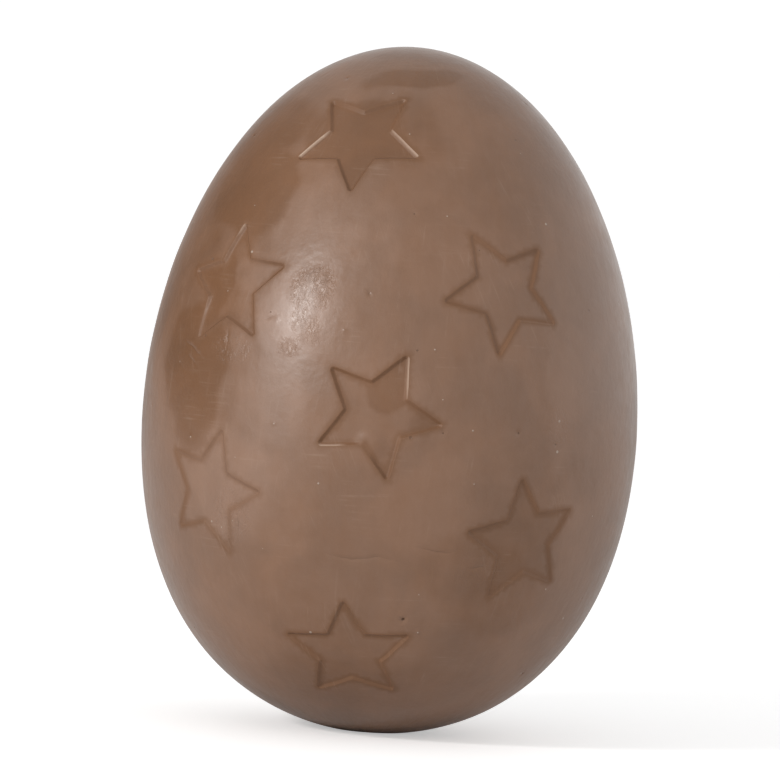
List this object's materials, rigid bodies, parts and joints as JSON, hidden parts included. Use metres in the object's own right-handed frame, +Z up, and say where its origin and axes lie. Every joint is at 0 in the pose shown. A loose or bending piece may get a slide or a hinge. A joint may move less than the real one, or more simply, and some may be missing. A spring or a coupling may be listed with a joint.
{
  "type": "moulded chocolate egg",
  "caption": "Moulded milk chocolate egg with five-pointed stars pressed into its surface, standing upright on its blunt end.",
  "frame": {"origin": "centre of the small flat that the egg stands on", "axes": "+Z up along the egg's own axis, from the blunt end to the narrow end; -Y is the side the picture shows; that the mould's two halves meet in the X-Z plane is an assumption"},
  "size_m": [0.1014, 0.1012, 0.14],
  "materials": {
    "milk_chocolate": "satin"
  },
  "bodies": {
    "root": {"chocolate_egg": "milk_chocolate"}
  },
  "joints": []
}
